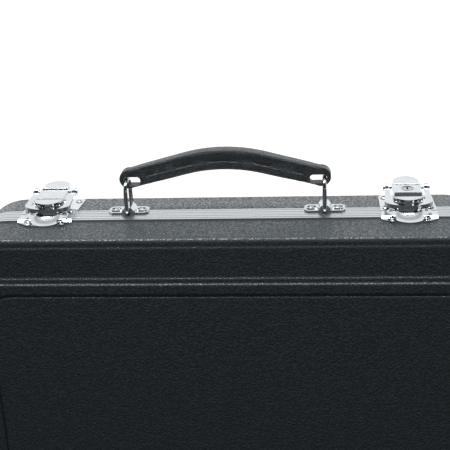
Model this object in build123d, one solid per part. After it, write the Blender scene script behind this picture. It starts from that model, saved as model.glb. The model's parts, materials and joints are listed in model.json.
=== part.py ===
from build123d import *
import os
from math import asin, cos, degrees, radians, sin, sqrt, tan

# Clarinet case: two moulded ABS halves in an aluminium valance, lying on its base.
# X runs along the case, the handle side faces -Y and the lid opens about the rear, +Y.
# The origin is the centre of the resting panel under the base, so the lid is on top.
# On the handle side and at the rear, pieces are drawn in (x, u, v): u is the height above
# the parting line between base and lid, and v is the distance out from the side wall.

# Shells
case_length = 394.0
case_depth = 246.0
corner_radius = 40.0
base_height = 53.5
lid_height = 39.5
wall = 3.0
draft = 6.0
rim_height = 10.0
base_edge_radius = 8.0
lid_edge_radius = 3.0
lid_bead_inset = 6.0
lid_bead_rise = 0.6
panel_steps = ((29.0, 1.5), (33.0, 1.5))
base_panel_inset = 31.0
base_panel_rise = 2.0
panel_groove_inset = 41.0
panel_groove_width = 1.6
panel_groove_depth = 0.8
panel_corner_radius = 16.0
lid_panel_reach = 17.0

# Aluminium valance, a tongue on the base's half and a groove in the lid's
band_height = 9.1
band_proud = 1.2
parting_gap = 0.15
web = 1.2
tongue_height = 2.0
tongue_width = 1.0
tongue_clearance = 0.5
flute_depth = 0.35
flute_width = 0.6
flute_places = (2.6, 6.2)

# Inside
insert_clearance = 0.5
insert_drop = 2.5
lining_thickness = 3.5
cushion_length = 212.0
cushion_depth = 74.0
cushion_thickness = 22.0
cushion_rear_gap = 1.7
cushion_corner = 12.0
cushion_edge = 5.0
end_margin = 12.0
rear_margin = 9.0
front_margin = 20.0
nest_spacing = 8.0
lower_joint_nest = (262.0, 52.0, 34.0)
upper_joint_nest = (232.0, 48.0, 32.0)
bell_nest = (112.0, 80.0, 42.0)
bell_axis_drop = 4.5
mouthpiece_nest = (96.0, 38.0, 26.0)
barrel_nest = (70.0, 38.0, 26.0)
pocket_depth = 34.0
pocket_corner = 6.0

# Latches
latch_inset = 67.7
plate_width = 39.0
sheet = 1.0
base_plate_reach = 42.0
base_plate_corner = 4.0
keeper_corner_reach = 11.8
keeper_reach = 17.5
dome_centre = -3.2
dome_foot = (20.7, 0.2)
dome_flank = (16.3, 2.1)
dome_top = (13.2, 4.2)
dome_edge = 0.5
hook_top = 7.0
hook_sheet = 1.0
hook_half_width = 7.0
lever_width = 21.0
lever_nose = 2.8
lever_top = 11.0
lever_skirt_bottom = 4.0
lever_sheet = 1.2
lever_back = -31.8
plateau_start = -7.7
plateau_end = -23.8
plateau_inset = 0.9
plateau_rise = 1.7
crease_rise = 0.3
tab_start = -27.6
tab_tip = -44.1
tab_width = 18.8
tab_rise = 0.9
tab_edge = 0.4
lever_pivot = (-2.2, 7.5)
bail_pivot = (-28.5, 8.8)
pin_radius = 1.25
running_fit = 0.06
ear_radius = 1.9
ear_clearance = 0.4
ear_foot = (-11.2, -6.6)
eye_boss = 3.2
nose_rise = 0.9
bail_front = 6.8
bail_front_height = 7.9
bail_shoulder = -2.1
bail_width_front = 33.3
bail_width_eyes = 30.8
bail_strap_front = 4.8
bail_strap_eyes = 3.2
bail_strap_tip = 3.2
bail_sheet = 1.2
bail_lip = 1.9
bail_lip_sheet = 1.2
hook_clearance = 0.4
bail_eye_radius = 3.1
bail_eye_length = 2.6
pin_head_radius = 2.2
pin_head = 0.8
lock_u = -16.5
lock_plug_radius = 3.4
lock_barrel_radius = 4.6
lock_bottom = 4.6
barrel_proud = 0.2
plug_sunk = 0.3
keyway = (1.3, 4.6, 2.5)
cam_width = 4.0
cam_sheet = 1.4
cam_reach = 6.9
strike_clearance = 0.35
strike_sheet = 0.8
strike_length = 6.0
strike_ledge = 1.6
rivet_head = 2.6
rivet_rise = 0.9
rivet_dimple = (1.3, 0.45)
keeper_rivet = (11.9, 13.9)
base_rivet_x = 15.6
base_rivet_u = (-5.6, -34.0)

# Handle, its rings and brackets
ring_x = 70.6
ring_u = -7.2
wire = 3.0
ring_width = 22.0
ring_bar_height = 3.2
ring_top = 27.2
ring_corner = 3.2
bracket_width = 12.4
bracket_span = 29.0
bracket_sheet = 1.2
bracket_corner = 2.6
bridge_base = 5.4
bridge_roof = 2.2
bridge_shoulder = 1.2
rim_size = (8.4, 6.4)
rim_wall = 0.8
rim_rise = 0.6
wing_rivet_inset = 5.2
small_rivet_radius = 1.9
small_rivet_rise = 0.7
tunnel_clearance = 0.1
grip_end_x = 68.4
grip_end_height = 25.9
grip_slope = 14.5
grip_radius = 112.0
grip_height = 13.8
grip_end_thickness = 7.6
grip_mid_thickness = 17.0
grip_crown_radius = 12.0
grip_ledge = 6.2
grip_ledge_step = 0.9
grip_ledge_span = 56.0
slot_outer_x = 72.5
slot_length = 12.2
slot_height = 6.5
slot_clearance = 0.4

# Rear hinges and feet
hinge_inset = 88.0
hinge_length = 50.0
knuckle_count = 5
knuckle_radius = 2.7
knuckle_gap = 0.35
hinge_pin_radius = 1.4
leaf_sheet = 1.2
leaf_clearance = 0.6
hinge_rivet_places = (-18.0, 0.0, 18.0)
foot_radius = 8.0
foot_inset = 50.0
foot_height = 8.0
foot_chamfer = 1.5
foot_counterbore = (3.4, 1.6)
foot_screw_head = (2.8, 1.2)
screw_recess = (0.7, 3.2, 0.6)
base_foot_u = -34.0
lid_foot_u = 24.0

# Places worked out from the sizes above
FRONT = Plane(origin=(0, -case_depth / 2, base_height), x_dir=(1, 0, 0), z_dir=(0, -1, 0))
REAR = Plane(origin=(0, case_depth / 2, base_height), x_dir=(-1, 0, 0), z_dir=(0, 1, 0))
UPWARD = Plane(origin=(0, 0, base_height), x_dir=(1, 0, 0), z_dir=(0, 0, 1))
DOWNWARD = Plane(origin=(0, 0, base_height), x_dir=(1, 0, 0), z_dir=(0, 0, -1))
latch_x = case_length / 2 - latch_inset
hinge_x = case_length / 2 - hinge_inset
foot_x = case_length / 2 - foot_inset
shell_edge = parting_gap + web
groove_inner = -wall - tongue_width - 2 * tongue_clearance
hinge_v = band_proud + knuckle_gap + knuckle_radius
ring_centre = ring_top - ring_width / 2
panel_rise = sum(step[1] for step in panel_steps)
lid_seat = shell_edge + tongue_height + tongue_clearance
lid_ceiling = lid_height - panel_rise - wall
recess_inset = panel_steps[-1][0] + wall
insert_grow = -wall - tongue_width - insert_clearance


def outline(grow, radius=None):
    """Plan of the case at the parting line, grown by grow."""
    corner = corner_radius + grow if radius is None else radius
    return RectangleRounded(case_length + 2 * grow, case_depth + 2 * grow, corner)


def band(outer, inner, start, end):
    """Closed band round the case between two growths, from start to end away from the parting line."""
    ring = outline(outer) - outline(inner)
    return Pos(0, 0, start) * extrude(ring, end - start)


def tapered_block(grow, start, end, edge_radius):
    """Straight rim, then drafted sides, with its far edge rounded."""
    rim = Pos(0, 0, start) * extrude(outline(grow), rim_height - start)
    sides = Pos(0, 0, rim_height) * extrude(outline(grow), end - rim_height, taper=draft)
    block = rim + sides
    far_edges = block.faces().sort_by(Axis.Z)[-1].edges()
    return fillet(far_edges, edge_radius)


def skin_inset(distance):
    """How far the drafted side has moved inwards at a distance from the parting line."""
    return max(0.0, distance - rim_height) * tan(radians(draft))


def moulded_half(height, edge, edge_radius):
    """One ABS half, open at the parting line, with walls of one thickness."""
    outside = tapered_block(0, edge, height, edge_radius)
    inside = tapered_block(-wall, 0, height - wall, max(edge_radius - wall, 2.0))
    return outside - inside


def panel(inset, start, rise, edge, reach=0.0):
    """Raised panel, inset from the drafted side's far edge and nearer to the ends by reach."""
    grow = -edge - inset
    corner = max(corner_radius + grow, panel_corner_radius)
    plan = RectangleRounded(case_length + 2 * (grow + reach), case_depth + 2 * grow, corner)
    return Pos(0, 0, start) * extrude(plan, rise)


def base_shell():
    side_height = base_height - base_panel_rise
    half = moulded_half(side_height, shell_edge, base_edge_radius)
    half += panel(base_panel_inset, side_height - wall / 2, base_panel_rise + wall / 2, skin_inset(side_height))
    return DOWNWARD * half


def lid_shell():
    side_height = lid_height - panel_rise
    edge = skin_inset(side_height)
    half = moulded_half(side_height, lid_seat, lid_edge_radius)
    half += panel(lid_bead_inset, side_height - wall / 2, lid_bead_rise + wall / 2, edge)
    top = side_height
    for inset, step_rise in panel_steps:
        half += panel(inset, top - wall / 2, step_rise + wall / 2, edge, lid_panel_reach)
        top += step_rise
    half -= panel(recess_inset, side_height - wall - 1, panel_rise + 1, edge, lid_panel_reach)
    bottom = top - panel_groove_depth
    groove = panel(panel_groove_inset, bottom, 2, edge, lid_panel_reach)
    groove -= panel(panel_groove_inset + panel_groove_width, bottom, 2, edge, lid_panel_reach)
    return UPWARD * (half - groove)


def valance_flutes():
    """Fine grooves that run along the outer face of the valance."""
    cuts = [band(band_proud + 1, band_proud - flute_depth, z, z + flute_width) for z in flute_places]
    return cuts[0] + cuts[1]


def base_valance():
    """Channel on the base's rim with the tongue that enters the lid's groove."""
    outer = band(band_proud, 0, parting_gap, band_height)
    top = band(0, -wall - tongue_width, parting_gap, shell_edge)
    inner = band(-wall, -wall - tongue_width, -tongue_height, band_height)
    return DOWNWARD * (outer + top + inner - valance_flutes())


def lid_valance():
    """Channel on the lid's rim, folded up over the base's tongue."""
    outer = band(band_proud, 0, parting_gap, band_height)
    step = -wall + tongue_clearance
    flat = band(0, step, parting_gap, shell_edge)
    riser = band(step + web, step, parting_gap, lid_seat)
    roof = band(step, groove_inner - web, lid_seat - web, lid_seat)
    inner = band(groove_inner, groove_inner - web, parting_gap, lid_seat)
    return UPWARD * (outer + flat + riser + roof + inner - valance_flutes())


def trough(length, width, depth):
    """Round-bottomed trough along X, cut down from z = 0."""
    radius = width / 2
    straight = depth - radius
    cutter = Pos(0, 0, -straight / 2 + 2) * Box(length, width, straight + 4)
    cutter += Pos(0, 0, -straight) * Rot(0, 90, 0) * Cylinder(radius, length)
    return cutter


def bell_trough():
    """Trough for the bell, wide at its mouth and narrow where it meets the lower joint."""
    length, mouth, throat = bell_nest
    across = Plane(origin=(-length / 2, 0, -bell_axis_drop), z_dir=(1, 0, 0))
    sections = []
    for share in (0, 0.3, 0.55, 0.75, 0.9, 1):
        radius = throat / 2 + (mouth - throat) / 2 * share ** 2.5
        sections.append(across.offset(length * share) * Circle(radius))
    return loft(sections, ruled=True)


def nest_places():
    """Centre of each nest in plan, packed from the left and rear walls of the insert."""
    left = -case_length / 2 + wall + tongue_width + end_margin
    back = case_depth / 2 - wall - tongue_width - rear_margin
    lower = (left + lower_joint_nest[0] / 2, back - lower_joint_nest[1] / 2)
    upper_back = back - lower_joint_nest[1] - nest_spacing
    upper = (left + upper_joint_nest[0] / 2, upper_back - upper_joint_nest[1] / 2)
    front_back = upper_back - upper_joint_nest[1] - nest_spacing
    bell = (left + bell_nest[0] / 2, front_back - bell_nest[1] / 2)
    inner_left = left + bell_nest[0] + nest_spacing
    mouthpiece = (inner_left + mouthpiece_nest[0] / 2, front_back - mouthpiece_nest[1] / 2)
    barrel = (-left - barrel_nest[1] / 2, back - barrel_nest[0] / 2)
    return lower, upper, bell, mouthpiece, barrel


def pocket_spans():
    """Corners of the reed pocket and the side pocket in plan, in the room the nests leave."""
    lower, upper, bell, mouthpiece, barrel = nest_places()
    front = -case_depth / 2 + wall + tongue_width + front_margin
    reed_left = mouthpiece[0] - mouthpiece_nest[0] / 2
    reed_back = mouthpiece[1] - mouthpiece_nest[1] / 2 - nest_spacing
    reed = (reed_left, front, reed_left + mouthpiece_nest[0], reed_back)
    side_left = upper[0] + upper_joint_nest[0] / 2 + nest_spacing
    side_right = barrel[0] + barrel_nest[1] / 2
    side = (side_left, front, side_right, barrel[1] - barrel_nest[0] / 2 - nest_spacing)
    return reed, side


def base_insert():
    """Foam block with a nest for each joint of the clarinet and two open pockets."""
    floor = base_height - base_panel_rise - wall
    block = DOWNWARD * tapered_block(insert_grow, insert_drop, floor, base_edge_radius - wall + 1)
    top = base_height - insert_drop
    lower, upper, bell, mouthpiece, barrel = nest_places()
    block -= Pos(*lower, top) * trough(*lower_joint_nest)
    block -= Pos(*upper, top) * trough(*upper_joint_nest)
    block -= Pos(*mouthpiece, top) * trough(*mouthpiece_nest)
    block -= Pos(*bell, top) * bell_trough()
    block -= Pos(*barrel, top) * Rot(0, 0, 90) * trough(*barrel_nest)
    for span in pocket_spans():
        block -= pocket(*span, top)
    return block


def pocket(left, front, right, back, top):
    """Square pocket with rounded corners, cut down from the top of the insert."""
    plan = RectangleRounded(right - left, back - front, pocket_corner)
    return Pos((left + right) / 2, (front + back) / 2, top - pocket_depth) * extrude(plan, pocket_depth + 2)


def lid_lining():
    """Padded lining that covers the lid's ceiling and walls."""
    edge = skin_inset(lid_height - panel_rise)
    inner_ceiling = lid_ceiling - lining_thickness
    outside = tapered_block(-wall, lid_seat, lid_ceiling, lining_thickness)
    outside += panel(recess_inset, lid_ceiling - 1, panel_rise + 1, edge, lid_panel_reach)
    inside = tapered_block(-wall - lining_thickness, 0, inner_ceiling, lining_thickness)
    raised = recess_inset + lining_thickness
    inside += panel(raised, inner_ceiling - 1, panel_rise + 1, edge, lid_panel_reach)
    return UPWARD * (outside - inside)


def lid_cushion():
    """Foam cushion on the lid's ceiling that holds the two long joints down."""
    top = base_height + lid_ceiling + panel_rise - lining_thickness
    pad = extrude(RectangleRounded(cushion_length, cushion_depth, cushion_corner), cushion_thickness)
    pad = fillet(pad.faces().sort_by(Axis.Z)[0].edges(), cushion_edge)
    recess_edge = case_depth / 2 - skin_inset(lid_height - panel_rise) - recess_inset
    y = recess_edge - lining_thickness - cushion_rear_gap - cushion_depth / 2
    return Pos(nest_places()[0][0], y, top - cushion_thickness) * pad


def skin_wedge(direction):
    """Space inside the drafted side, towards the lid (+1) or the base (-1), in (x, u, v)."""
    far = 60.0
    drop = (far - rim_height) * tan(radians(draft))
    points = [(0, 0), (rim_height, 0), (far, -drop), (far, -30), (0, -30)]
    face = Plane.YZ * make_face(Polyline(*[(direction * u, v) for u, v in points], close=True))
    return extrude(face, 2 * plate_width, both=True)


def rivet(x, u, v, tilt=0.0):
    """Tubular rivet head with a rolled rim, its flat side at v, tilted to lie on a drafted side."""
    head = Cylinder(rivet_head, rivet_rise, align=(Align.CENTER, Align.CENTER, Align.MIN))
    head = chamfer(head.faces().sort_by(Axis.Z)[-1].edges(), rivet_rise * 0.6)
    radius, depth = rivet_dimple
    head -= Pos(0, 0, rivet_rise) * Cylinder(radius, 2 * depth)
    return Pos(x, u, v) * Rot(tilt, 0, 0) * head


def keeper_plan(inset):
    """Plan of the keeper: square at the parting line, with a curved front edge."""
    half = plate_width / 2 - inset
    corner = keeper_corner_reach - inset
    tip = keeper_reach - inset
    start = 2 * parting_gap + 0.3 + inset
    front = ThreePointArc((half, corner), (0, tip), (-half, corner))
    sides = Polyline((-half, corner), (-half, start), (half, start), (half, corner))
    return make_face(front + sides)


def bail_plan(half_eyes, half_front, tip):
    """Plan inside an outline of the bail: arms from the eyes and an elliptical front."""
    back = bail_pivot[0]
    arms = [(-half_eyes, back), (-half_front, bail_shoulder), (half_front, bail_shoulder), (half_eyes, back)]
    front = Pos(0, bail_shoulder) * Ellipse(half_front, tip - bail_shoulder)
    return make_face(Polyline(*arms, close=True)) + front


def bail_outline(inset):
    """The bail's outer outline, moved in by inset."""
    return bail_plan(bail_width_eyes / 2 - inset, bail_width_front / 2 - inset, bail_front - inset)


def seat_line(reach):
    """Underside of a latch plate in (u, v): over the valance, then down onto the ABS."""
    bend = band_height + 2.2
    return [(parting_gap + 0.3, band_proud), (band_height + 0.4, band_proud), (bend, -skin_inset(bend)),
            (reach, -skin_inset(reach))]


def latch_plate(direction, reach):
    """Latch plate towards the lid (+1) or the base (-1), bent over the valance."""
    low = [(direction * u, v) for u, v in seat_line(reach)]
    high = [(u, v + sheet) for u, v in reversed(low)]
    return extrude(Plane.YZ * make_face(Polyline(*low, *high, close=True)), plate_width / 2, both=True)


def dome():
    """Dome pressed up from the keeper, with a flank that flares out to the plate's front edge."""
    flank = ThreePointArc(dome_foot, dome_flank, dome_top)
    rest = Polyline(dome_top, (0, dome_top[1]), (0, -wall), (dome_foot[0], -wall), dome_foot)
    solid = revolve(Plane.XZ * make_face(flank + rest), Axis.Z)
    return Pos(0, dome_centre, 0) * fillet(solid.edges().group_by(Axis.Z)[-1], dome_edge)


def keeper():
    """Keeper on the lid: a domed plate with the hook that the bail catches."""
    plan = Pos(0, 0, -2 * wall) * extrude(keeper_plan(0), 8 * wall)
    below = seat_line(2 * keeper_reach)
    below += [(2 * keeper_reach, -2 * wall), (below[0][0], -2 * wall)]
    seat = extrude(Plane.YZ * make_face(Polyline(*below, close=True)), plate_width, both=True)
    body = latch_plate(1, keeper_reach) & plan
    body += (dome() & plan) - seat
    front = bail_lip_sheet + hook_clearance
    floor = band_proud + sheet
    well = extrude(bail_outline(front + hook_sheet), 2 * hook_top)
    body -= Pos(0, 0, floor) * well
    hook = bail_outline(front) - bail_outline(front + hook_sheet)
    hook &= Pos(0, bail_front) * Rectangle(2 * hook_half_width, 2 * (bail_front - parting_gap - 0.3))
    return body + Pos(0, 0, floor - sheet / 2) * extrude(hook, hook_top - floor + sheet / 2)


def pivot_ears():
    """Two ears bent up from the base plate that carry the lever's pin."""
    u, v = lever_pivot
    half = nose_half_width(u + ear_radius, lever_sheet) - ear_clearance
    foot = band_proud + sheet - 0.2
    points = [(ear_foot[0], foot), (ear_foot[1], foot), (u, v - ear_radius)]
    points.append((u - 0.7 * ear_radius, v + 0.7 * ear_radius))
    profile = make_face(Polyline(*points, close=True)) + Pos(u, v) * Circle(ear_radius)
    ear = extrude(Plane.YZ * profile, sheet)
    bore = Pos(0, u, v) * Rot(0, 90, 0) * Cylinder(pin_radius, lever_width)
    return Pos(half - sheet, 0, 0) * ear + Pos(-half, 0, 0) * ear - bore


def lock_strike():
    """Angle on the base plate that the lock's cam turns under."""
    foot = -skin_inset(-lock_u) + sheet - 0.2
    inner = cam_reach + 0.5
    ledge = lock_bottom + strike_clearance
    outer = inner + sheet
    low = [(inner, foot), (outer, foot), (outer, ledge + strike_sheet), (inner - strike_ledge, ledge + strike_sheet)]
    profile = Polyline(*low, (inner - strike_ledge, ledge), (inner, ledge), close=True)
    angle = extrude(Plane.XZ * make_face(profile), strike_length / 2, both=True)
    return Pos(0, lock_u, 0) * angle


def latch_base(keyed):
    """Base plate of a latch, riveted to the base."""
    plate = latch_plate(-1, base_plate_reach)
    far_corners = plate.edges().filter_by(Axis.Z).group_by(Axis.Y)[0]
    plate = fillet(far_corners, base_plate_corner)
    plate += pivot_ears()
    if keyed:
        plate += lock_strike()
    return plate


def nose_half_width(u, inset=0.0):
    """Half width of the lever at u, where its nose is a half disc."""
    radius = lever_width / 2 - inset
    centre = lever_nose - lever_width / 2
    return sqrt(radius ** 2 - max(0.0, u - centre) ** 2)


def lever_plan(inset):
    """Plan of the lever: a half disc in front of a straight-sided pan."""
    radius = lever_width / 2 - inset
    centre = lever_nose - lever_width / 2
    nose = Pos(0, centre) * Circle(radius)
    length = centre - lever_back - inset
    return nose + Pos(0, centre - length / 2) * Rectangle(2 * radius, length)


def lever(rise, keyed):
    """Lever: a pressed pan with a raised plateau and a thumb tab."""
    u1, v1 = lever_pivot
    u2, v2 = bail_pivot
    top = Pos(0, 0, lever_top - lever_sheet) * extrude(lever_plan(0), lever_sheet)
    skirt = lever_plan(0) - lever_plan(lever_sheet)
    skirt = Pos(0, 0, lever_skirt_bottom) * extrude(skirt, lever_top - lever_skirt_bottom)
    back = u1 - eye_boss
    nose_bottom = v1 + nose_rise
    front = 2 * lever_nose
    cut = [(back, 0), (back, v1), (u1, nose_bottom), (front, nose_bottom), (front, 0)]
    below = make_face(Polyline(*cut, close=True))
    inside = nose_half_width(u1 + ear_radius, lever_sheet)
    skirt -= extrude(Plane.YZ * below, inside, both=True)
    skirt -= extrude(Plane.YZ * (below - Pos(u1, v1) * Circle(eye_boss)), lever_width, both=True)
    body = top + skirt
    length = plateau_start - plateau_end
    plateau = Pos(0, plateau_start - length / 2, lever_top - 0.2)
    plateau *= extrude(Rectangle(lever_width - 2 * plateau_inset, length), rise + 0.2)
    plateau = chamfer(plateau.faces().sort_by(Axis.Z)[-1].edges(), min(0.5, rise * 0.6))
    body += plateau
    body += thumb_tab()
    for u, v in (lever_pivot, bail_pivot):
        body -= Pos(0, u, v) * Rot(0, 90, 0) * Cylinder(pin_radius + running_fit * (u == u1), 2 * lever_width)
    if keyed:
        body -= Pos(0, lock_u, lever_top) * Cylinder(lock_barrel_radius, 4 * plateau_rise)
    return body


def tab_plan(inset):
    """Plan of the thumb tab: straight sides and a half-round end."""
    radius = tab_width / 2 - inset
    centre = tab_tip + tab_width / 2
    start = tab_start - inset
    end = ThreePointArc((radius, centre), (0, centre - radius), (-radius, centre))
    return make_face(end + Polyline((-radius, centre), (-radius, start), (radius, start), (radius, centre)))


def thumb_tab():
    """Raised tab that the thumb lifts, with its rim turned down."""
    low = lever_top - lever_sheet
    high = lever_top + tab_rise
    tab = Pos(0, 0, low) * extrude(tab_plan(0), high - low)
    tab = fillet(tab.faces().sort_by(Axis.Z)[-1].edges(), tab_edge)
    return tab - Pos(0, 0, low) * extrude(tab_plan(lever_sheet), high - low - lever_sheet)


def lever_pin():
    """Pin riveted into the base plate's ears, on which the lever turns."""
    u, v = lever_pivot
    length = 2 * (nose_half_width(u) + 0.2)
    return Pos(0, u, v) * Rot(0, 90, 0) * Cylinder(pin_radius, length)


def bail_pin():
    """Pin through the lever that carries the bail's eyes, with a head at each end."""
    u, v = bail_pivot
    length = bail_width_eyes + 2 * hook_clearance
    pin = Cylinder(pin_radius, length)
    for side in (-1, 1):
        pin += Pos(0, 0, side * (length + pin_head) / 2) * Cylinder(pin_head_radius, pin_head)
    return Pos(0, u, v) * Rot(0, 90, 0) * pin


def bail():
    """Flat bail: arms from the eyes and a curved front with its lip turned down before the hook."""
    u, v = bail_pivot
    half_eyes = bail_width_eyes / 2
    inner = bail_plan(half_eyes - bail_strap_eyes, bail_width_front / 2 - bail_strap_front,
                      bail_front - bail_strap_tip)
    strap = extrude(bail_outline(0) - inner, bail_sheet / 2, both=True)
    lip = bail_outline(0) - bail_outline(bail_lip_sheet)
    lip &= Pos(0, bail_shoulder + bail_front) * Rectangle(2 * bail_width_front, 2 * bail_front)
    strap += Pos(0, 0, -bail_lip - bail_sheet / 2) * extrude(lip, bail_lip + bail_sheet / 2)
    slope = degrees(asin((v - bail_front_height) / (bail_front - u)))
    strap = Pos(0, u, v) * Rot(-slope, 0, 0) * Pos(0, -u, 0) * strap
    for side in (-1, 1):
        x = side * (half_eyes - bail_eye_length / 2)
        strap += Pos(x, u, v) * Rot(0, 90, 0) * Cylinder(bail_eye_radius, bail_eye_length)
    return strap - Pos(0, u, v) * Rot(0, 90, 0) * Cylinder(pin_radius + running_fit, 2 * bail_width_eyes)


def lock_barrel():
    """Barrel fixed in the lever's plateau round the lock's plug."""
    top = lever_top + plateau_rise + barrel_proud
    bottom = lock_bottom + strike_clearance + strike_sheet + 2 * strike_clearance
    barrel = Pos(0, lock_u, (top + bottom) / 2) * Cylinder(lock_barrel_radius, top - bottom)
    return barrel - Pos(0, lock_u, 0) * Cylinder(lock_plug_radius + running_fit, 4 * top)


def lock_plug():
    """Plug that the key turns, with its keyway and the cam on its tail."""
    top = lever_top + plateau_rise + barrel_proud - plug_sunk
    plug = Pos(0, 0, (top + lock_bottom) / 2) * Cylinder(lock_plug_radius, top - lock_bottom)
    width, length, depth = keyway
    slot = Pos(0, 0, top) * Box(width, length, 2 * depth)
    cam_length = cam_reach + cam_width / 2
    cam = Pos(0, cam_reach - cam_length / 2, lock_bottom - cam_sheet / 2) * Box(cam_width, cam_length, cam_sheet)
    return Pos(0, lock_u, 0) * (plug + cam - slot)


def ring_path():
    """Centre line of a handle ring in (u, v): bar, legs and half-round top."""
    half = ring_width / 2 - wire / 2
    low = ring_bar_height
    corner = ring_corner
    inner = corner * (1 - cos(radians(45)))
    bar = Line((-half + corner, low), (half - corner, low))
    right_corner = ThreePointArc((half - corner, low), (half - inner, low + inner), (half, low + corner))
    right_leg = Line((half, low + corner), (half, ring_centre))
    top = ThreePointArc((half, ring_centre), (0, ring_centre + half), (-half, ring_centre))
    left_leg = Line((-half, ring_centre), (-half, low + corner))
    left_corner = ThreePointArc((-half, low + corner), (-half + inner, low + inner), (-half + corner, low))
    return bar + right_corner + right_leg + top + left_leg + left_corner


def handle_ring():
    """Wire ring that joins the handle's eye to its bracket."""
    path = Plane.YZ * ring_path()
    start = Plane(origin=(0, 0, ring_bar_height), x_dir=(1, 0, 0), z_dir=(0, 1, 0))
    ring = sweep(start * Circle(wire / 2), path=path.wire())
    return Pos(0, ring_u, 0) * ring


def bracket():
    """Strap over the ring's bar with a riveted wing at each side."""
    top = ring_bar_height + wire / 2 + tunnel_clearance + bracket_sheet
    shoulder = bridge_roof + bridge_shoulder
    half = [(bridge_roof, top), (shoulder, top - bridge_shoulder), (bridge_base, band_proud)]
    points = [(-x, v) for x, v in reversed(half)] + half
    bridge = extrude(Plane.XZ * make_face(Polyline(*points, close=True)), bracket_width / 2, both=True)
    bore = wire / 2 + tunnel_clearance
    tunnel = Pos(0, 0, ring_bar_height) * Rot(90, 0, 0) * Cylinder(bore, 2 * bracket_width)
    below = Pos(0, 0, ring_bar_height / 2) * Box(2 * bore, 2 * bracket_width, ring_bar_height)
    plate = extrude(bracket_plan(), bracket_sheet)
    strap = Pos(0, 0, band_proud) * (plate + bracket_rims()) + bridge - tunnel - below
    return Pos(0, ring_u, 0) * strap


def bracket_plan():
    """Plan of the bracket's strap with chamfered wing ends."""
    plan = Rectangle(bracket_span, bracket_width)
    return chamfer(plan.vertices(), bracket_corner)


def bracket_rims():
    """Raised rims round the rivets on the two wings."""
    length, width = rim_size
    rim = SlotOverall(length, width) - SlotOverall(length - 2 * rim_wall, width - 2 * rim_wall)
    x = bracket_span / 2 - wing_rivet_inset
    rims = extrude(rim, bracket_sheet + rim_rise)
    return Pos(x, 0, 0) * rims + Pos(-x, 0, 0) * rims


def small_rivet(x, u, v):
    """Small chamfered rivet head with its flat side at v."""
    head = Cylinder(small_rivet_radius, small_rivet_rise, align=(Align.CENTER, Align.CENTER, Align.MIN))
    head = chamfer(head.faces().sort_by(Axis.Z)[-1].edges(), 0.6 * small_rivet_rise)
    return Pos(x, u, v) * head


def bracket_rivets():
    x = bracket_span / 2 - wing_rivet_inset
    places = [side * ring_x + wing * x for side in (-1, 1) for wing in (-1, 1)]
    return [FRONT * small_rivet(place, ring_u, band_proud + bracket_sheet) for place in places]


def grip_centre(x):
    """Height and slope angle of the grip's centre line at x."""
    slope = radians(grip_slope)
    arc_half = grip_radius * sin(slope)
    corner_height = grip_end_height + (grip_end_x - arc_half) * tan(slope)
    if abs(x) >= arc_half:
        return corner_height - (abs(x) - arc_half) * tan(slope), slope * (-1 if x > 0 else 1)
    rise = sqrt(grip_radius ** 2 - x ** 2) - grip_radius * cos(slope)
    return corner_height + rise, -asin(x / grip_radius)


def grip_thickness(x):
    """Thickness of the grip at x: slim at the eyes and full in the hand."""
    share = cos(radians(90 * min(1.0, abs(x) / grip_end_x))) ** 1.4
    return grip_end_thickness + (grip_mid_thickness - grip_end_thickness) * share


def grip_plane(x):
    """Plane across the grip at x: its first axis is the thickness, its second the height."""
    height, angle = grip_centre(x)
    return Plane(origin=(x, ring_u, height), x_dir=(0, 1, 0), z_dir=(cos(angle), 0, sin(angle)))


def grip_section(x):
    """Section of the grip at x, with a crowned top."""
    half = grip_thickness(x) / 2
    low = -grip_height / 2
    high = grip_height / 2
    shoulder = half - 1.0
    crown = grip_crown_radius - sqrt(grip_crown_radius ** 2 - shoulder ** 2)
    right = [(half - 1.2, low), (half, low + 1.2), (half, high - 1.0), (shoulder, high)]
    left = [(-a, b) for a, b in reversed(right)]
    top = ThreePointArc(right[-1], (0, high + crown), left[0])
    return grip_plane(x) * make_face(Polyline(*left, *right) + top)


def ledge_section(x):
    """Section of the thicker lower part of the grip at x."""
    half = grip_thickness(x) / 2 + grip_ledge_step
    low = -grip_height / 2
    high = low + grip_ledge
    right = [(half - 1.4, low), (half, low + 1.4), (half, high - grip_ledge_step), (half - grip_ledge_step, high)]
    left = [(-a, b) for a, b in reversed(right)]
    return grip_plane(x) * make_face(Polyline(*left, *right, close=True))


def spaced(half_length, count):
    """Places from -half_length to half_length, evenly spaced."""
    return [half_length * (2 * i / (count - 1) - 1) for i in range(count)]


def handle():
    """Arched plastic grip with a slotted eye at each end."""
    grip = loft([grip_section(x) for x in spaced(grip_end_x, 13)])
    grip += loft([ledge_section(x) for x in spaced(grip_ledge_span, 11)])
    for side in (-1, 1):
        end = Pos(side * grip_end_x, ring_u, grip_end_height) * Rot(90, 0, 0)
        end *= Cylinder(grip_height / 2, grip_end_thickness)
        grip += end
    for side in (-1, 1):
        grip -= eye_slot(side)
    return grip


def eye_slot(side):
    """Slot through the grip's end for its ring."""
    top = ring_top + slot_clearance
    centre_x = side * (slot_outer_x - slot_length / 2)
    plan = RectangleRounded(slot_length, slot_height, 2.4)
    slot = extrude(Plane.XZ * plan, 3 * grip_end_thickness, both=True)
    return Pos(centre_x, ring_u, top - slot_height / 2) * slot


def knuckles(own):
    """Barrel stretches of one leaf: the even ones on the base, the odd ones on the lid."""
    pitch = hinge_length / knuckle_count
    places = [i for i in range(knuckle_count) if i % 2 == own]
    return [(-hinge_length / 2 + pitch * (i + 0.5), pitch - knuckle_gap) for i in places]


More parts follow.
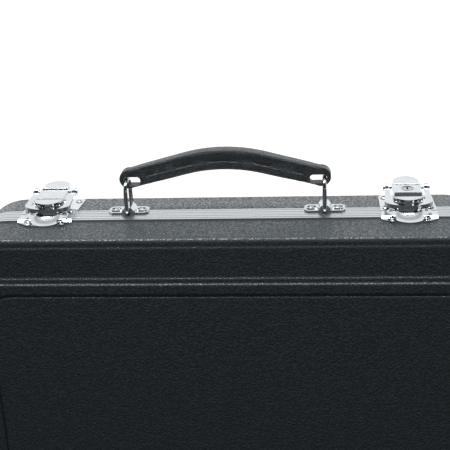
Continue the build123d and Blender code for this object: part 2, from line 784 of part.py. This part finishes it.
def hinge_leaf(own, direction):
    """Leaf riveted to the valance, with its share of the barrel."""
    start = knuckle_radius + leaf_clearance
    plate_height = band_height - knuckle_gap - start
    middle = direction * (start + plate_height / 2)
    leaf = Pos(0, middle, band_proud + leaf_sheet / 2) * Box(hinge_length, plate_height, leaf_sheet)
    for x, length in knuckles(own):
        arm = Box(length, start + leaf_clearance, leaf_sheet)
        leaf += Pos(x, direction * (start + leaf_clearance) / 2, band_proud + knuckle_gap + leaf_sheet / 2) * arm
        leaf += Pos(x, 0, hinge_v) * Rot(0, 90, 0) * Cylinder(knuckle_radius, length)
    bore = hinge_pin_radius + (running_fit if direction > 0 else 0)
    return leaf - Pos(0, 0, hinge_v) * Rot(0, 90, 0) * Cylinder(bore, 2 * hinge_length)


def hinge_pin():
    return Pos(0, 0, hinge_v) * Rot(0, 90, 0) * Cylinder(hinge_pin_radius, hinge_length + 2 * knuckle_gap)


def hinge_rivets(direction):
    start = knuckle_radius + leaf_clearance
    u = direction * (start + band_height - knuckle_gap) / 2
    places = [side * hinge_x + x for side in (-1, 1) for x in hinge_rivet_places]
    return [REAR * small_rivet(x, u, band_proud + leaf_sheet) for x in places]


def spine_foot(u):
    """Moulded foot on the rear side, on which the closed case stands upright."""
    side = 1 if u > 0 else -1
    bottom = -skin_inset(abs(u) + foot_radius) - 1
    upward = (Align.CENTER, Align.CENTER, Align.MIN)
    foot = Pos(0, u, bottom) * Cylinder(foot_radius, foot_height - bottom, align=upward)
    foot = chamfer(foot.faces().sort_by(Axis.Z)[-1].edges(), foot_chamfer)
    radius, depth = foot_counterbore
    foot -= Pos(0, u, foot_height - depth) * Cylinder(radius, 2 * depth, align=upward)
    return foot - skin_wedge(side)


def foot_screw(u):
    """Pan-head screw sunk in a foot."""
    radius, height = foot_screw_head
    head = Cylinder(radius, height, align=(Align.CENTER, Align.CENTER, Align.MIN))
    head = chamfer(head.faces().sort_by(Axis.Z)[-1].edges(), 0.4 * height)
    width, length, depth = screw_recess
    head -= Pos(0, 0, height) * (Box(width, length, 2 * depth) + Box(length, width, 2 * depth))
    return Pos(0, u, foot_height - foot_counterbore[1]) * head


def both_sides(frame, x, piece):
    """The same piece at -x and +x on one side of the case."""
    return [frame * (Pos(-x, 0, 0) * piece), frame * (Pos(x, 0, 0) * piece)]


def keeper_rivet_set():
    x, u = keeper_rivet
    heads = [rivet(side * x, u, band_proud + sheet) for side in (-1, 1)]
    return [FRONT * (Pos(side * latch_x, 0, 0) * head) for side in (-1, 1) for head in heads]


def base_rivet_set():
    near, far = base_rivet_u
    heads = [rivet(side * base_rivet_x, near, band_proud + sheet) for side in (-1, 1)]
    heads += [rivet(side * base_rivet_x, far, sheet - skin_inset(-far), draft) for side in (-1, 1)]
    return [FRONT * (Pos(side * latch_x, 0, 0) * head) for side in (-1, 1) for head in heads]


def write(name, *solids):
    """One STEP file per sub-part."""
    group = solids[0] if len(solids) == 1 else Compound(children=list(solids))
    export_step(group, os.path.join("parts", name + ".step"))


def main():
    os.makedirs("parts", exist_ok=True)
    write("base_shell", base_shell())
    write("lid_shell", lid_shell())
    write("base_valance", base_valance())
    write("lid_valance", lid_valance())
    write("base_insert", base_insert())
    write("lid_lining", lid_lining())
    write("lid_cushion", lid_cushion())
    for name, x, keyed in (("keyed", -latch_x, True), ("plain", latch_x, False)):
        place = FRONT * Pos(x, 0, 0)
        write(name + "_latch_base", place * latch_base(keyed))
        write(name + "_keeper", place * keeper())
        write(name + "_lever", place * lever(plateau_rise if keyed else crease_rise, keyed))
        write(name + "_lever_pin", place * lever_pin())
        write(name + "_bail", place * bail())
        write(name + "_bail_pin", place * bail_pin())
    place = FRONT * Pos(-latch_x, 0, 0)
    write("lock_barrel", place * lock_barrel())
    write("lock_plug", place * lock_plug())
    write("latch_base_rivets", *base_rivet_set())
    write("keeper_rivets", *keeper_rivet_set())
    for name, side in (("left", -1), ("right", 1)):
        place = FRONT * Pos(side * ring_x, 0, 0)
        write(name + "_handle_ring", place * handle_ring())
        write(name + "_handle_bracket", place * bracket())
        place = REAR * Pos(-side * hinge_x, 0, 0)
        write(name + "_hinge_base_leaf", place * hinge_leaf(0, -1))
        write(name + "_hinge_lid_leaf", place * hinge_leaf(1, 1))
        write(name + "_hinge_pin", place * hinge_pin())
    write("bracket_rivets", *bracket_rivets())
    write("handle", FRONT * handle())
    write("hinge_base_rivets", *hinge_rivets(-1))
    write("hinge_lid_rivets", *hinge_rivets(1))
    write("base_spine_feet", *both_sides(REAR, foot_x, spine_foot(base_foot_u)))
    write("lid_spine_feet", *both_sides(REAR, foot_x, spine_foot(lid_foot_u)))
    write("base_foot_screws", *both_sides(REAR, foot_x, foot_screw(base_foot_u)))
    write("lid_foot_screws", *both_sides(REAR, foot_x, foot_screw(lid_foot_u)))


main()
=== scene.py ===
# %% [markdown]
# # A clarinet case
# Two moulded black ABS halves meet in a bright aluminium valance. Two draw latches hold them shut,
# a plastic grip hangs from two wire rings, and black plush lines the inside. The solids come from
# CAD as a fixed frame; this file gives them their finishes, replaces the soft pieces, and lights them.

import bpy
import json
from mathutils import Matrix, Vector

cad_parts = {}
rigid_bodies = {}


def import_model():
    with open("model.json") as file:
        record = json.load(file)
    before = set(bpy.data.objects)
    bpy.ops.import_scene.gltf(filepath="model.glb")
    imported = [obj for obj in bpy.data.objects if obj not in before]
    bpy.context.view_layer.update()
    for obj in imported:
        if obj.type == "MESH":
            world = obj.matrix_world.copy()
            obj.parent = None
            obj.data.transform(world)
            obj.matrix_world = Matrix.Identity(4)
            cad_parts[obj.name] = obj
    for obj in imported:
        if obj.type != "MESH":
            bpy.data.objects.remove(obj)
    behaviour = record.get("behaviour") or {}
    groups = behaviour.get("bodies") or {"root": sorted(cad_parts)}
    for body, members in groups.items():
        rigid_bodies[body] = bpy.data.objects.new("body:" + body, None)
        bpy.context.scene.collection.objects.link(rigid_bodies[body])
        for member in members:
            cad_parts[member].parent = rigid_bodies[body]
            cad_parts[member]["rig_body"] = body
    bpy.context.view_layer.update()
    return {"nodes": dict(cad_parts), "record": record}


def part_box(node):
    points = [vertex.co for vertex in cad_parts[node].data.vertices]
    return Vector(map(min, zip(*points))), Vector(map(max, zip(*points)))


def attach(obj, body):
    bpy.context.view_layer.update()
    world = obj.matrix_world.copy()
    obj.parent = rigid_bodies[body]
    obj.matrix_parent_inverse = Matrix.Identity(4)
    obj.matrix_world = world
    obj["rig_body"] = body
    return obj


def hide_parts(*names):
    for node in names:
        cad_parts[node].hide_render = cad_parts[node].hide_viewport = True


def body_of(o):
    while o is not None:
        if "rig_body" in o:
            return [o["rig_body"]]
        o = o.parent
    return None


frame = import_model()

# %% [markdown]
# ## Small helpers
# Colours are written as the hex values that a picture editor shows and turned to the linear values
# that a renderer adds up. `add` makes any shader or geometry node with its settings and its inputs in
# one call, so a tree reads from top to bottom as the surface is built. The others are the few steps
# that every material repeats.

# %% Colour and node helpers
import json
import math

import bmesh
import bpy
from mathutils import Matrix, Vector

MM = 0.001


def linear(hex_colour):
    """Linear RGBA of an sRGB hex colour."""
    values = [int(hex_colour[i:i + 2], 16) / 255 for i in (1, 3, 5)]
    return [v / 12.92 if v <= 0.04045 else ((v + 0.055) / 1.055) ** 2.4 for v in values] + [1.0]


def add(tree, kind, inputs=None, **settings):
    """A node with its settings, and its inputs given as values or as other nodes' outputs."""
    node = tree.nodes.new(kind)
    for name, value in settings.items():
        setattr(node, name, value)
    for key, value in (inputs or {}).items():
        if isinstance(value, bpy.types.NodeSocket):
            tree.links.new(value, node.inputs[key])
        else:
            node.inputs[key].default_value = value
    return node


def new_object(name, data):
    """Object that is linked to the scene."""
    thing = bpy.data.objects.new(name, data)
    bpy.context.scene.collection.objects.link(thing)
    return thing


def new_material(name):
    """Material with an empty tree, the tree, and the place in the object's own coordinates."""
    material = bpy.data.materials.new(name)
    material.use_nodes = True
    tree = material.node_tree
    tree.nodes.clear()
    return material, tree, add(tree, "ShaderNodeTexCoord").outputs["Object"]


def finish(tree, **sockets):
    """End a material's tree in one shader; a socket's name is written with _ for each space."""
    inputs = {name.replace("_", " "): value for name, value in sockets.items()}
    shader = add(tree, "ShaderNodeBsdfPrincipled", inputs)
    add(tree, "ShaderNodeOutputMaterial", {"Surface": shader.outputs[0]})


def noise(tree, place, size, detail, output="Fac", **sockets):
    """Noise with features of a size, as one of the node's outputs."""
    inputs = {"Vector": place, "Scale": 1 / size, "Detail": detail, **sockets}
    return add(tree, "ShaderNodeTexNoise", inputs).outputs[output]


def weighted(tree, value, weight, rest):
    """A value times its weight, plus the rest."""
    return add(tree, "ShaderNodeMath", {0: value, 1: weight, 2: rest}, operation="MULTIPLY_ADD").outputs[0]


def dents(tree, height, strength, depth, **sockets):
    """Normal of a surface with dents of that depth."""
    inputs = {"Height": height, "Strength": strength, "Distance": depth, **sockets}
    return add(tree, "ShaderNodeBump", inputs).outputs[0]


def vector(tree, operation, inputs):
    """Vector maths, as its vector output."""
    return add(tree, "ShaderNodeVectorMath", inputs, operation=operation).outputs[0]


def ramp(tree, value, stops, as_colour=True):
    """Colour ramp over a value: stops are (place, hex colour) or (place, number)."""
    node = add(tree, "ShaderNodeValToRGB", {"Fac": value})
    elements = node.color_ramp.elements
    while len(elements) < len(stops):
        elements.new(0.5)
    for element, (place, what) in zip(elements, stops):
        element.position = place
        element.color = linear(what) if as_colour else (what, what, what, 1)
    return node.outputs["Color"]


# %% [markdown]
# ## The camera
# The photograph was taken with the case standing on its hinges. Here the case lies on its base, so
# the camera comes round with it: it looks down on the lid from the handle's side. Its lens, its place and
# its small yaw and roll come from lines that can be measured in the picture, such as the valance,
# the far edge of the base and the row of latches.

# %% Camera
FOCUS_PX = 1076.8
FRAME_PX = 450
CENTRE_LINE_PX = 214.2
PITCH, YAW, ROLL = (math.radians(a) for a in (22.05, -5.95, -2.85))
DISTANCE = 768.7 * MM
SENSOR_MM, NEAR_CLIP = 36, 0.02
target = Vector((0.35, -123.83, 53.5)) * MM

forward = Vector((-math.sin(YAW) * math.cos(PITCH), math.sin(PITCH),
                  -math.cos(YAW) * math.cos(PITCH)))
level_right = Vector((-math.cos(YAW), 0, math.sin(YAW)))
level_up = level_right.cross(forward)
right = math.cos(ROLL) * level_right + math.sin(ROLL) * level_up
up = math.cos(ROLL) * level_up - math.sin(ROLL) * level_right

lens = bpy.data.cameras.new("camera")
lens.sensor_width = SENSOR_MM
lens.lens = FOCUS_PX / FRAME_PX * lens.sensor_width
lens.shift_y = (CENTRE_LINE_PX - FRAME_PX / 2) / FRAME_PX
lens.clip_start = NEAR_CLIP
camera = new_object("camera", lens)
pose = Matrix((right, up, -forward)).transposed().to_4x4()
pose.translation = target - forward * DISTANCE
camera.matrix_world = pose
bpy.context.scene.camera = camera
print("camera at", [round(v, 3) for v in camera.location], "lens", round(lens.lens, 1))

# %% [markdown]
# ## Floor and light
# The case lies on a light table in a dim studio. The pebbled side looks grey because at this flat
# angle it mirrors the glowing table, and the lid looks nearly black because it mirrors the dark ceiling
# above. The glow fades away from the case, so that the chrome has something dark to mirror as well,
# and a long soft box on the handle's side draws the highlights.

# %% Floor
GLOW_HALF = (0.455, 0.344)
FLOOR_HALF = 6.0
mesh = bpy.data.meshes.new("floor")
corners = [(-1, -1), (1, -1), (1, 1), (-1, 1)]
mesh.from_pydata([(FLOOR_HALF * x, FLOOR_HALF * y, 0) for x, y in corners], [], [(0, 1, 2, 3)])
floor = new_object("floor", mesh)
glass, tree, place = new_material("opal glass light table")
share = vector(tree, "MULTIPLY", {0: place, 1: (1 / GLOW_HALF[0], 1 / GLOW_HALF[1], 0)})
square = vector(tree, "MULTIPLY", {0: share, 1: share})
reach = add(tree, "ShaderNodeVectorMath", {0: square}, operation="LENGTH").outputs["Value"]
glow = ramp(tree, reach, [(0.64, 0.92), (1.0, 0.3)], as_colour=False)
finish(tree, Base_Color=linear("#c8c8c6"), Roughness=0.9, Emission_Color=linear("#ffffff"),
       Emission_Strength=glow)
mesh.materials.append(glass)


# %% Lights
def soft_box(name, where, aim, width, height, watts):
    """Rectangular soft light at a place, turned to a point."""
    lamp = bpy.data.lights.new(name, "AREA")
    lamp.shape = "RECTANGLE"
    lamp.size, lamp.size_y = width, height
    lamp.energy = watts
    box = new_object(name, lamp)
    box.location = where
    box.rotation_euler = (Vector(aim) - Vector(where)).to_track_quat("-Z", "Y").to_euler()


soft_box("key", (0.3, -4.0, 0.8), (0, -0.15, 0.05), 4.2, 0.8, 230)
soft_box("overhead", (0.1, -0.1, 1.75), (0.1, -0.1, 0), 1.6, 2.0, 1.7)
soft_box("kicker", (-1.2, -0.9, 1.6), (0, -0.1, 0.05), 0.35, 0.35, 1.2)

world = bpy.data.worlds.new("studio")
world.use_nodes = True
tree = world.node_tree
tree.nodes.clear()
sky = add(tree, "ShaderNodeTexCoord")
height = add(tree, "ShaderNodeSeparateXYZ", {"Vector": sky.outputs["Generated"]})
glow = ramp(tree, height.outputs["Z"], [(0.0, "#b4b8bb"), (0.15, "#45484b"), (0.55, "#34373a")])
background = add(tree, "ShaderNodeBackground", {"Color": glow, "Strength": 0.8})
add(tree, "ShaderNodeOutputWorld", {"Surface": background.outputs[0]})
bpy.context.scene.world = world
bpy.context.scene.view_settings.view_transform = "Standard"

# %% [markdown]
# ## Pebbled ABS
# The halves are vacuum-formed ABS sheet, and the tool gives them a pebble grain: flat-topped grains a
# little over a millimetre across with fine valleys between. Handling polishes the high spots, which
# mirror the glowing floor, and leaves the low ones dull: that makes the salt-and-pepper speckle at a flat
# angle. The polished spots are also painted a lighter grey in the colour, a painted glint. A bevel in the
# shader rounds the mould's edges, which catch the light as soft bands.


# %% ABS
def pebbled_abs():
    material, tree, place = new_material("pebbled black ABS")
    grain = 1.35 * MM
    warp = noise(tree, place, 3 * grain, 2.0, "Color")
    drift = vector(tree, "SUBTRACT", {0: warp, 1: (0.5, 0.5, 0.5)})
    drift = vector(tree, "SCALE", {0: drift, "Scale": 1.2 * grain})
    moved = vector(tree, "ADD", {0: place, 1: drift})
    pebbles = add(tree, "ShaderNodeTexVoronoi", {"Vector": moved, "Scale": 1 / grain, "Smoothness": 0.6},
                  feature="SMOOTH_F1")
    tops = ramp(tree, pebbles.outputs["Distance"], [(0.1, 1.0), (0.75, 0.0)], as_colour=False)
    fine = noise(tree, place, 0.5 * MM, 3.0)
    large = noise(tree, place, 1.4 * MM, 1.0)
    height = weighted(tree, large, 1.3, weighted(tree, fine, 0.3, tops))
    round_edge = add(tree, "ShaderNodeBevel", {"Radius": 2.2 * MM}, samples=8)
    normal = dents(tree, height, 1.0, 0.13 * MM, Normal=round_edge.outputs[0])
    # Painted glints: the colour is a lighter grey on the same high spots that the roughness below makes
    # polished.
    colour = ramp(tree, large, [(0.4, "#252b2e"), (0.6, "#394146")])
    rough = ramp(tree, large, [(0.4, 0.68), (0.6, 0.22)], as_colour=False)
    finish(tree, Base_Color=colour, Roughness=rough, IOR=1.53, Normal=normal)
    return material


# %% [markdown]
# ## Satin aluminium
# The valance is drawn aluminium strip, bright but not mirror-like. Drawing leaves hair lines that run
# along the strip, so the pattern is stretched along X and Y and changes quickly only with height.


# %% Aluminium
def drawn_aluminium():
    material, tree, place = new_material("drawn satin aluminium")
    along, across = 1 / 0.09, 1 / (0.35 * MM)
    stretch = add(tree, "ShaderNodeMapping", {"Vector": place, "Scale": (along, along, across)})
    lines = noise(tree, stretch.outputs[0], 1.0, 3.0)
    colour = ramp(tree, lines, [(0.3, "#a8acaf"), (0.55, "#c1c5c8"), (0.75, "#cfd3d6")])
    rough = ramp(tree, lines, [(0.3, 0.36), (0.7, 0.24)], as_colour=False)
    normal = dents(tree, lines, 0.5, 0.03 * MM)
    finish(tree, Base_Color=colour, Metallic=1.0, Roughness=rough, Normal=normal)
    return material


# %% [markdown]
# ## Chrome and nickel plate
# The latches and brackets are pressed steel with bright chrome: nearly a mirror, with a faint haze of fine
# polishing scratches. The wire rings, pins, rivets, screws, hinges and lock are bright nickel, which is
# darker and a little duller.


# %% Plated steel
def plated(name, light, dark, polish, haze, wear):
    """Plated steel: light and dark hex colours, lowest and highest roughness, and scratch depth in mm."""
    material, tree, place = new_material(name)
    smear = noise(tree, place, 7 * MM, 3.0, Roughness=0.6)
    hair = add(tree, "ShaderNodeMapping", {
        "Vector": place, "Scale": (1 / (0.4 * MM), 1 / (4 * MM), 1 / (5 * MM))})
    scratches = noise(tree, hair.outputs[0], 1.0, 4.0)
    both = add(tree, "ShaderNodeMath", {0: smear, 1: scratches}, operation="MULTIPLY").outputs[0]
    colour = ramp(tree, smear, [(0.35, light), (0.75, dark)])
    rough = ramp(tree, both, [(0.15, polish), (0.5, haze)], as_colour=False)
    normal = dents(tree, scratches, 0.4, wear * MM)
    finish(tree, Base_Color=colour, Metallic=1.0, Roughness=rough, Normal=normal)
    return material


# %% [markdown]
# ## The grip's plastic and the feet
# The grip is injection-moulded, with a leather-like grain of cells a little over a millimetre across and
# high spots that a hand has polished. Those high spots are also painted a lighter grey, a painted glint.
# The feet are smooth moulded plastic, scuffed here and there.


# %% Moulded plastics
def grained_plastic():
    material, tree, place = new_material("leather-grained black plastic")
    cells = add(tree, "ShaderNodeTexVoronoi", {"Vector": place, "Scale": 1 / (1.3 * MM)},
                feature="DISTANCE_TO_EDGE")
    valleys = ramp(tree, cells.outputs["Distance"], [(0.0, 0.0), (0.22, 1.0)], as_colour=False)
    fine = noise(tree, place, 0.9 * MM, 2.0)
    normal = dents(tree, weighted(tree, fine, 1.2, valleys), 1.0, 0.2 * MM)
    # Painted glints: the high, polished spots of the grain are also painted a lighter grey.
    colour = ramp(tree, fine, [(0.38, "#171c1f"), (0.62, "#3f464a")])
    rough = ramp(tree, fine, [(0.38, 0.55), (0.62, 0.22)], as_colour=False)
    finish(tree, Base_Color=colour, Roughness=rough, IOR=1.5, Normal=normal)
    return material


def smooth_plastic():
    material, tree, place = new_material("smooth black plastic")
    scuffs = noise(tree, place, 1.5 * MM, 4.0)
    colour = ramp(tree, scuffs, [(0.4, "#141516"), (0.75, "#242627")])
    rough = ramp(tree, scuffs, [(0.35, 0.35), (0.7, 0.6)], as_colour=False)
    finish(tree, Base_Color=colour, Roughness=rough, IOR=1.5)
    return material


# %% [markdown]
# ## Black plush
# The inside is short-pile nylon plush glued over foam. Pile drinks the light that comes straight on
# and glows at grazing angles, which the shader's sheen gives. Where a hand has brushed the plush, its
# fibres lie another way and catch the light differently, so broad soft patches are painted a little
# lighter in the colour: a painted sheen.


# %% Plush
def black_plush():
    material, tree, place = new_material("short black plush")
    pile = noise(tree, place, 0.6 * MM, 4.0, Roughness=0.7)
    # Broad patches that the colour below paints a little lighter: painted sheen where the plush was
    # brushed. The fine speckle is the pile's own random tone.
    brushed_sheen = noise(tree, place, 28 * MM, 3.0, Distortion=0.8)
    shade = weighted(tree, pile, 0.45, brushed_sheen)
    colour = ramp(tree, shade, [(0.5, "#1a1a1d"), (0.72, "#29292d"), (0.95, "#3a3a40")])
    normal = dents(tree, pile, 1.0, 0.35 * MM)
    finish(tree, Base_Color=colour, Roughness=0.95, Sheen_Weight=0.55, Sheen_Roughness=0.45,
           Sheen_Tint=linear("#8a8a92"), Normal=normal)
    return material


# %% Dress the CAD nodes
finishes = {
    "abs": pebbled_abs(),
    "valance": drawn_aluminium(),
    "chrome": plated("bright chrome plate", "#cfd3d7", "#c3c8cc", 0.06, 0.18, 0.006),
    "steel": plated("nickel plate", "#b9bdc0", "#9a9ea2", 0.1, 0.22, 0.01),
    "grip": grained_plastic(),
    "foot": smooth_plastic(),
    "plush": black_plush(),
}
for subpart in frame["record"]["subparts"]:
    node = frame["nodes"][subpart["node"]]
    node.data.materials.clear()
    node.data.materials.append(finishes[subpart["material_slot"]])
print("finishes:", sorted(finishes))

# %% [markdown]
# ## A slimmer grip
# Close up, the grip's light upper side is narrow and nearly flat, so the moulding is slimmer in the hand
# than the solid. A copy of the solid is pressed together towards its middle plane, most where the
# hand holds it, and its crowned top is flattened along the arch. All of it, with the eyes, then moves
# a millimetre away from the case. The solid's own thicknesses are given in millimetres.

# %% Grip
GRIP_ARCH, GRIP_SLOPE, GRIP_TOP = 112.0 * MM, math.radians(14.5), 6.9 * MM
GRIP_END_X, GRIP_END_OUT = 68.4 * MM, 25.9 * MM
GRIP_END_THICK, SOLID_THICK, REAL_THICK = 7.6, 17.0, 10.4
GRIP_PLANE_Z, SIDE_Y, GRIP_LIFT = 46.3 * MM, -123.0 * MM, 1.0 * MM
GRIP_TAPER, TOP_PRESS = 1.4, 0.8
MERGE_GAP = 0.005 * MM
GRIP_SHARP = math.radians(11)
corner_x = GRIP_ARCH * math.sin(GRIP_SLOPE)
corner_out = GRIP_END_OUT + (GRIP_END_X - corner_x) * math.tan(GRIP_SLOPE)


def above_arch(x, out):
    """Height of a point over the grip's centre line, and the way in which that height is measured."""
    angle = math.atan2(x, out - corner_out + GRIP_ARCH * math.cos(GRIP_SLOPE))
    turn = max(-GRIP_SLOPE, min(GRIP_SLOPE, angle))
    way = Vector((math.sin(turn), math.cos(turn)))
    foot = Vector((GRIP_ARCH * way.x, corner_out + GRIP_ARCH * (way.y - math.cos(GRIP_SLOPE))))
    return (Vector((x, out)) - foot).dot(way), way


def slimmed(spot):
    """Where a point of the solid grip goes on the slim one."""
    share = math.cos(math.pi / 2 * min(1, abs(spot.x) / GRIP_END_X)) ** GRIP_TAPER
    solid = GRIP_END_THICK + (SOLID_THICK - GRIP_END_THICK) * share
    real = GRIP_END_THICK + (REAL_THICK - GRIP_END_THICK) * share
    out = SIDE_Y - spot.y
    height, way = above_arch(spot.x, out)
    drop = TOP_PRESS * max(0, height - GRIP_TOP) if abs(spot.x) < GRIP_END_X else 0
    return Vector((spot.x - drop * way.x, SIDE_Y - out + drop * way.y - GRIP_LIFT,
                   GRIP_PLANE_Z + (spot.z - GRIP_PLANE_Z) * real / solid))


def merged_copy(node_name, piece_name):
    """Copy of a CAD node with its loose triangles joined."""
    source = frame["nodes"][node_name]
    form = bmesh.new()
    form.from_mesh(source.data)
    form.transform(source.matrix_world)
    bmesh.ops.remove_doubles(form, verts=form.verts, dist=MERGE_GAP)
    mesh = bpy.data.meshes.new(piece_name)
    form.to_mesh(mesh)
    form.free()
    return new_object(piece_name, mesh)


grip = merged_copy("handle", "slim_grip")
for vertex in grip.data.vertices:
    vertex.co = slimmed(vertex.co)
grip.data.shade_smooth()
grip.data.set_sharp_from_angle(angle=GRIP_SHARP)
grip.data.materials.append(finishes["grip"])
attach(grip, body_of(frame["nodes"]["handle"])[0])
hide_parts("handle")
print("grip:", len(grip.data.polygons), "faces")

# %% [markdown]
# ## Plush over foam
# The foam block and the lid's lining are cut foam with plush drawn over, so no edge is sharp: each
# nest rolls over into the next. A copy of the CAD solid is rebuilt on an even grid of small cells, which
# rounds the edges by about a cell, and a few smoothing passes relax them as glued cloth does.


# %% Insert and lining
INSERT_CELL, LINING_CELL, CUSHION_CELL = 2.4 * MM, 1.7 * MM, 4.0 * MM
WELD_GAP = 0.01 * MM
RELAX = 0.5


def softened(node_name, piece_name, cell, passes):
    """Soft copy of a CAD solid, on a grid of cells of that size."""
    source = frame["nodes"][node_name]
    mesh = source.data.copy()
    mesh.transform(source.matrix_world)
    piece = new_object(piece_name, mesh)
    weld = piece.modifiers.new("weld", "WELD")
    weld.merge_threshold = WELD_GAP
    remesh = piece.modifiers.new("grid", "REMESH")
    remesh.mode = "VOXEL"
    remesh.voxel_size = cell
    smooth = piece.modifiers.new("relax", "SMOOTH")
    smooth.factor, smooth.iterations = RELAX, passes
    bake(piece)
    shade_smooth(piece)
    mesh_material(piece, "plush")
    return piece


def bake(piece):
    """Turn a piece and its modifiers into a plain mesh."""
    seen = piece.evaluated_get(bpy.context.evaluated_depsgraph_get())
    plain = bpy.data.meshes.new_from_object(seen)
    piece.modifiers.clear()
    piece.data = plain


def shade_smooth(piece):
    """Smooth shading on every face."""
    piece.data.polygons.foreach_set("use_smooth", [True] * len(piece.data.polygons))


def mesh_material(piece, slot):
    """Give a piece the finish of a slot."""
    piece.data.materials.clear()
    piece.data.materials.append(finishes[slot])


insert = softened("base_insert", "plush_insert", INSERT_CELL, passes=4)
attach(insert, "base")
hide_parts("base_insert")

lining = softened("lid_lining", "plush_lining", LINING_CELL, passes=2)
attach(lining, "lid")
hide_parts("lid_lining")
print("insert:", len(insert.data.polygons), "faces; lining:", len(lining.data.polygons), "faces")

# %% [markdown]
# ## The lid's cushion
# The pad that holds the joints down is a sewn bag round foam, so it crowns in the middle and pulls in
# along its seam. Cloth with a little pressure inside finds that form by itself. No point may move
# more than a few millimetres, or rise past the pad's own back.

# %% Cushion
CLOTH_FRAMES, CLOTH_STEPS, PRESSURE = 20, 6, 4
MOST_MOVE = 7 * MM
cushion = softened("lid_cushion", "plush_cushion", CUSHION_CELL, passes=3)
low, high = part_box("lid_cushion")
start = [v.co.copy() for v in cushion.data.vertices]
cloth = cushion.modifiers.new("cloth", "CLOTH")
cloth.settings.use_pressure = True
cloth.settings.uniform_pressure_force = PRESSURE
cloth.settings.effector_weights.gravity = 0
cloth.settings.quality = CLOTH_STEPS
cloth.point_cache.frame_end = CLOTH_FRAMES
for step in range(1, CLOTH_FRAMES + 1):
    bpy.context.scene.frame_set(step)
bake(cushion)
bpy.context.scene.frame_set(1)
for vertex, rest in zip(cushion.data.vertices, start):
    move = vertex.co - rest
    if move.length > MOST_MOVE:
        move *= MOST_MOVE / move.length
    spot = rest + move
    spot.z = min(spot.z, high[2])
    vertex.co = spot
finer = cushion.modifiers.new("finer", "SUBSURF")
finer.levels = finer.render_levels = 1
bake(cushion)
shade_smooth(cushion)
mesh_material(cushion, "plush")
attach(cushion, "lid")
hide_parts("lid_cushion")
print("cushion:", len(cushion.data.polygons), "faces")

# %% [markdown]
# ## The cushion's welt
# Such a bag is closed with a welt: a thin cord in a folded strip, held by a row of stitches. Both follow
# the bag's outline, so one Geometry Nodes tree makes them. A rounded rectangle becomes the cord's
# path, and the same outline, drawn in a little and moved by the cord's radius, carries the stitches.


# %% Welt tree
CORD_SIDES = 10
THREAD_SIDES, THREAD_RINGS, THREAD_STRETCH = 6, 4, 3.2
DRAWN_IN = (0.99, 0.985, 1.0)


def welt_tree(material):
    """Node group that makes a welt and its stitches round a rectangle."""
    tree = bpy.data.node_groups.new("welt and stitches", "GeometryNodeTree")
    tree.interface.new_socket("Geometry", in_out="OUTPUT", socket_type="NodeSocketGeometry")
    for name in ("Length", "Depth", "Corner", "Cord radius", "Stitch pitch", "Thread radius"):
        tree.interface.new_socket(name, in_out="INPUT", socket_type="NodeSocketFloat")
    tree.interface.new_socket("Middle", in_out="INPUT", socket_type="NodeSocketVector")
    given = tree.nodes.new("NodeGroupInput").outputs
    box = add(tree, "GeometryNodeCurvePrimitiveQuadrilateral", {
        "Width": given["Length"], "Height": given["Depth"]})
    outline = add(tree, "GeometryNodeFilletCurve", {
        "Curve": box.outputs[0], "Radius": given["Corner"]}).outputs[0]
    steps = {"Curve": outline, "Length": given["Stitch pitch"]}
    path = add(tree, "GeometryNodeResampleCurve", steps, mode="LENGTH")
    section = add(tree, "GeometryNodeCurvePrimitiveCircle", {
        "Resolution": CORD_SIDES, "Radius": given["Cord radius"]})
    cord = add(tree, "GeometryNodeCurveToMesh", {
        "Curve": path.outputs[0], "Profile Curve": section.outputs[0]})
    places = add(tree, "GeometryNodeCurveToPoints", steps, mode="LENGTH")
    thread = add(tree, "GeometryNodeMeshUVSphere", {
        "Segments": THREAD_SIDES, "Rings": THREAD_RINGS, "Radius": given["Thread radius"]})
    stitches = add(tree, "GeometryNodeInstanceOnPoints", {
        "Points": places.outputs["Points"], "Instance": thread.outputs[0],
        "Rotation": places.outputs["Rotation"], "Scale": (1.0, 1.0, THREAD_STRETCH)})
    shift = add(tree, "ShaderNodeCombineXYZ", {"Z": given["Cord radius"]})
    beside = add(tree, "GeometryNodeTransform", {
        "Geometry": stitches.outputs[0], "Translation": shift.outputs[0], "Scale": DRAWN_IN})
    both = add(tree, "GeometryNodeJoinGeometry")
    tree.links.new(cord.outputs[0], both.inputs[0])
    tree.links.new(beside.outputs[0], both.inputs[0])
    put = add(tree, "GeometryNodeTransform", {
        "Geometry": both.outputs[0], "Translation": given["Middle"]})
    plain = add(tree, "GeometryNodeRealizeInstances", {"Geometry": put.outputs[0]})
    dressed = add(tree, "GeometryNodeSetMaterial", {
        "Geometry": plain.outputs[0], "Material": material})
    add(tree, "NodeGroupOutput", {"Geometry": dressed.outputs[0]})
    return tree


# %% Welt
WELT = {"Corner": 14 * MM, "Cord radius": 1.1 * MM, "Stitch pitch": 3.2 * MM,
        "Thread radius": 0.32 * MM}
WELT_INSET, WELT_RISE = 2.4 * MM, 5 * MM
tree = welt_tree(finishes["plush"])
welt = new_object("cushion_welt", bpy.data.meshes.new("cushion_welt"))
maker = welt.modifiers.new("welt", "NODES")
maker.node_group = tree
sizes = dict(WELT, Length=high[0] - low[0] - WELT_INSET, Depth=high[1] - low[1] - WELT_INSET)
sizes["Middle"] = ((low[0] + high[0]) / 2, (low[1] + high[1]) / 2, low[2] + WELT_RISE)
for socket in tree.interface.items_tree:
    if socket.in_out == "INPUT":
        maker[socket.identifier] = sizes[socket.name]
bake(welt)
shade_smooth(welt)
mesh_material(welt, "plush")
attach(welt, "lid")
print("welt:", len(welt.data.polygons), "faces")
